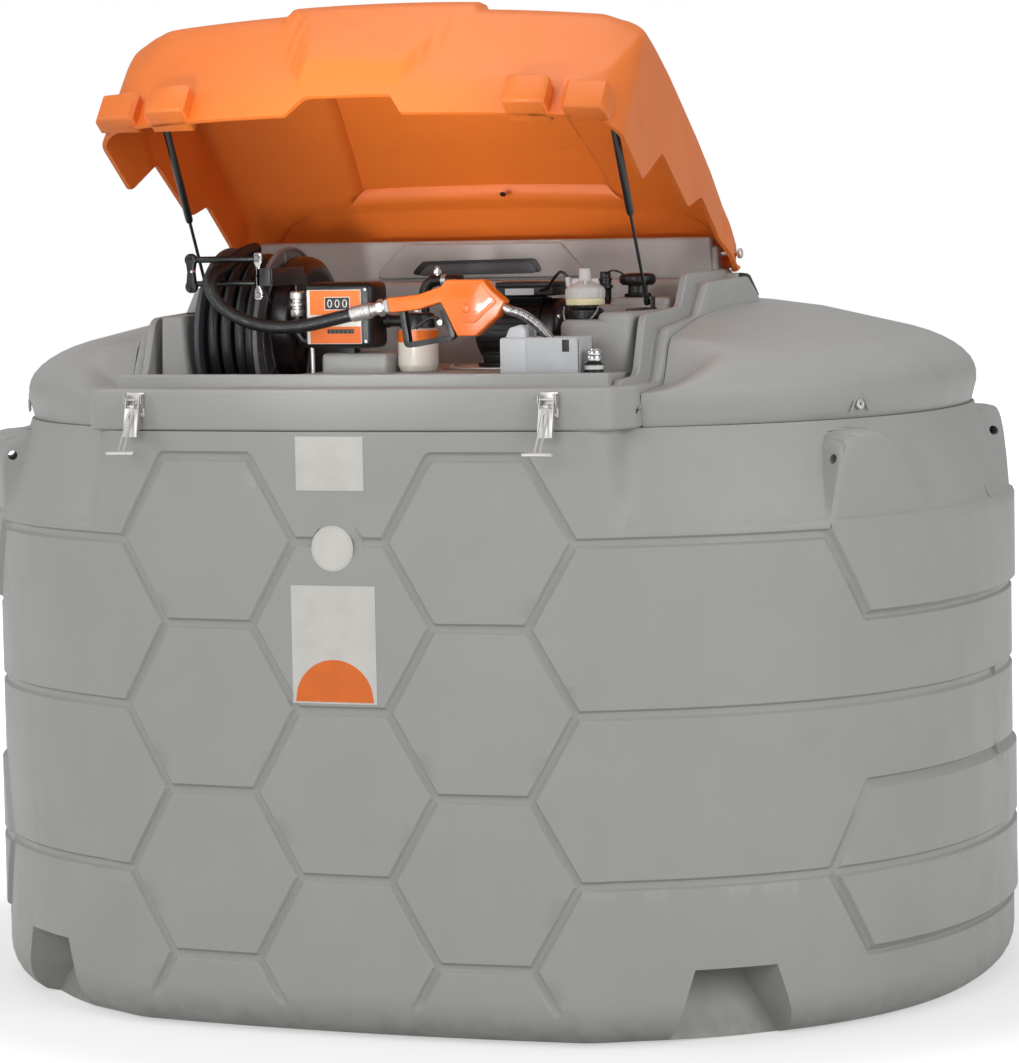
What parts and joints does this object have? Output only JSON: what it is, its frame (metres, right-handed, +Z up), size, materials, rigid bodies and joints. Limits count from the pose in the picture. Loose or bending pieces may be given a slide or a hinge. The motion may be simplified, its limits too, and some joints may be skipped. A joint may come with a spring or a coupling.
{
  "type": "fuel tank with pump",
  "caption": "Double-walled grey plastic diesel tank with hexagon panels; a hinged orange lid covers the pump, hose reel, meter and nozzle.",
  "frame": {"origin": "on the ground, on the tank's middle line, 1.15 m behind its front face", "axes": "+X to the right seen from the front, -Y towards the front where the latches are, +Z up"},
  "size_m": [2.438, 2.1341, 2.2412],
  "materials": {
    "grey_polyethylene": "matte",
    "pale_grey_plastic": "matte",
    "orange_polyethylene": "satin",
    "orange_paint": "gloss",
    "black_plastic": "satin",
    "black_painted_steel": "satin",
    "hose_rubber": "matte",
    "zinc_plated_steel": "satin",
    "chromed_steel": "polished",
    "white_plastic": "satin",
    "dark_grey_plastic": "matte"
  },
  "bodies": {
    "tank": {"outer_tank": "grey_polyethylene", "inner_tank": "grey_polyethylene", "inner_tank_top": "grey_polyethylene", "top_cover": "grey_polyethylene", "hinge_bolt_left": "zinc_plated_steel", "hinge_bolt_right": "zinc_plated_steel", "strut_foot_left": "black_painted_steel", "strut_foot_right": "black_painted_steel", "latch_base_left": "zinc_plated_steel", "latch_base_right": "zinc_plated_steel", "reel_frame": "black_painted_steel", "spring_case": "black_plastic", "hose_guide": "black_painted_steel", "guide_end_plate": "chromed_steel", "delivery_hose": "hose_rubber", "hose_ferrule": "zinc_plated_steel", "hose_swivel": "zinc_plated_steel", "nozzle_body": "orange_paint", "nozzle_guard": "black_plastic", "nozzle_spout": "chromed_steel", "nozzle_holder": "pale_grey_plastic", "meter_case": "black_plastic", "meter_face": "white_plastic", "filter_can": "white_plastic", "filter_head": "black_plastic", "pump_base_plate": "zinc_plated_steel", "pump_motor": "black_plastic", "motor_terminal_box": "black_plastic", "pump_head": "black_plastic", "suction_elbow": "black_plastic", "elbow_plug": "zinc_plated_steel", "filler_collar": "black_plastic", "filler_cap": "white_plastic", "level_gauge": "black_plastic", "manhole_cap": "black_plastic", "valve_fitting": "zinc_plated_steel"},
    "lid": {"lid": "orange_polyethylene", "strut_bracket_left": "black_painted_steel", "strut_bracket_right": "black_painted_steel"},
    "reel": {"reel_drum": "dark_grey_plastic", "hose_winding": "hose_rubber"},
    "trigger": {"nozzle_trigger": "zinc_plated_steel"},
    "strut_rod_left": {"strut_rod_left": "chromed_steel"},
    "strut_cylinder_left": {"strut_cylinder_left": "black_painted_steel"},
    "latch_lever_left": {"latch_lever_left": "zinc_plated_steel"},
    "latch_hook_left": {"latch_hook_left": "zinc_plated_steel"},
    "strut_rod_right": {"strut_rod_right": "chromed_steel"},
    "strut_cylinder_right": {"strut_cylinder_right": "black_painted_steel"},
    "latch_lever_right": {"latch_lever_right": "zinc_plated_steel"},
    "latch_hook_right": {"latch_hook_right": "zinc_plated_steel"}
  },
  "joints": [
    {"name": "lid_hinge", "type": "hinge", "parent": "tank", "child": "lid", "pos_m": [0, -0.21, 1.705], "axis": [1, 0, 0], "range_deg": [0, 37.3]},
    {"name": "strut_left_pivot", "type": "hinge", "parent": "tank", "child": "strut_rod_left", "pos_m": [-0.54, -0.612, 1.606], "axis": [1, 0, 0], "range_deg": [0, 62.7]},
    {"name": "strut_left_slide", "type": "slide", "parent": "strut_rod_left", "child": "strut_cylinder_left", "axis": [0, -0.4689, 0.8832], "range_m": [-0.1919, 0]},
    {"name": "latch_left_lever", "type": "hinge", "parent": "tank", "child": "latch_lever_left", "pos_m": [-0.49, -1.14096, 1.412], "axis": [1, 0, 0], "range_deg": [-35, 0]},
    {"name": "latch_left_hook", "type": "hinge", "parent": "latch_lever_left", "child": "latch_hook_left", "pos_m": [-0.49, -1.14429, 1.39635], "axis": [1, 0, 0], "range_deg": [-110, 0]},
    {"name": "strut_right_pivot", "type": "hinge", "parent": "tank", "child": "strut_rod_right", "pos_m": [0.54, -0.612, 1.606], "axis": [1, 0, 0], "range_deg": [0, 62.7]},
    {"name": "strut_right_slide", "type": "slide", "parent": "strut_rod_right", "child": "strut_cylinder_right", "axis": [0, -0.4689, 0.8832], "range_m": [-0.1919, 0]},
    {"name": "latch_right_lever", "type": "hinge", "parent": "tank", "child": "latch_lever_right", "pos_m": [0.49, -1.14096, 1.412], "axis": [1, 0, 0], "range_deg": [-35, 0]},
    {"name": "latch_right_hook", "type": "hinge", "parent": "latch_lever_right", "child": "latch_hook_right", "pos_m": [0.49, -1.14429, 1.39635], "axis": [1, 0, 0], "range_deg": [-110, 0]},
    {"name": "reel_spin", "type": "hinge", "parent": "tank", "child": "reel", "pos_m": [-0.484, -0.62, 1.53], "axis": [1, 0, 0], "continuous": true},
    {"name": "nozzle_trigger", "type": "hinge", "parent": "tank", "child": "trigger", "pos_m": [0.1748, -0.95, 1.5727], "axis": [0, 1, 0], "range_deg": [0, 12], "stiffness_Nm_per_rad": 0.8, "springref_deg": -5.73}
  ],
  "couplings": [
    {"joint": "strut_left_pivot", "follows": "lid_hinge", "ratio": 1.6684},
    {"joint": "strut_left_slide", "follows": "lid_hinge", "m_per_rad": -0.29328},
    {"joint": "strut_right_pivot", "follows": "lid_hinge", "ratio": 1.6684},
    {"joint": "strut_right_slide", "follows": "lid_hinge", "m_per_rad": -0.29328}
  ]
}
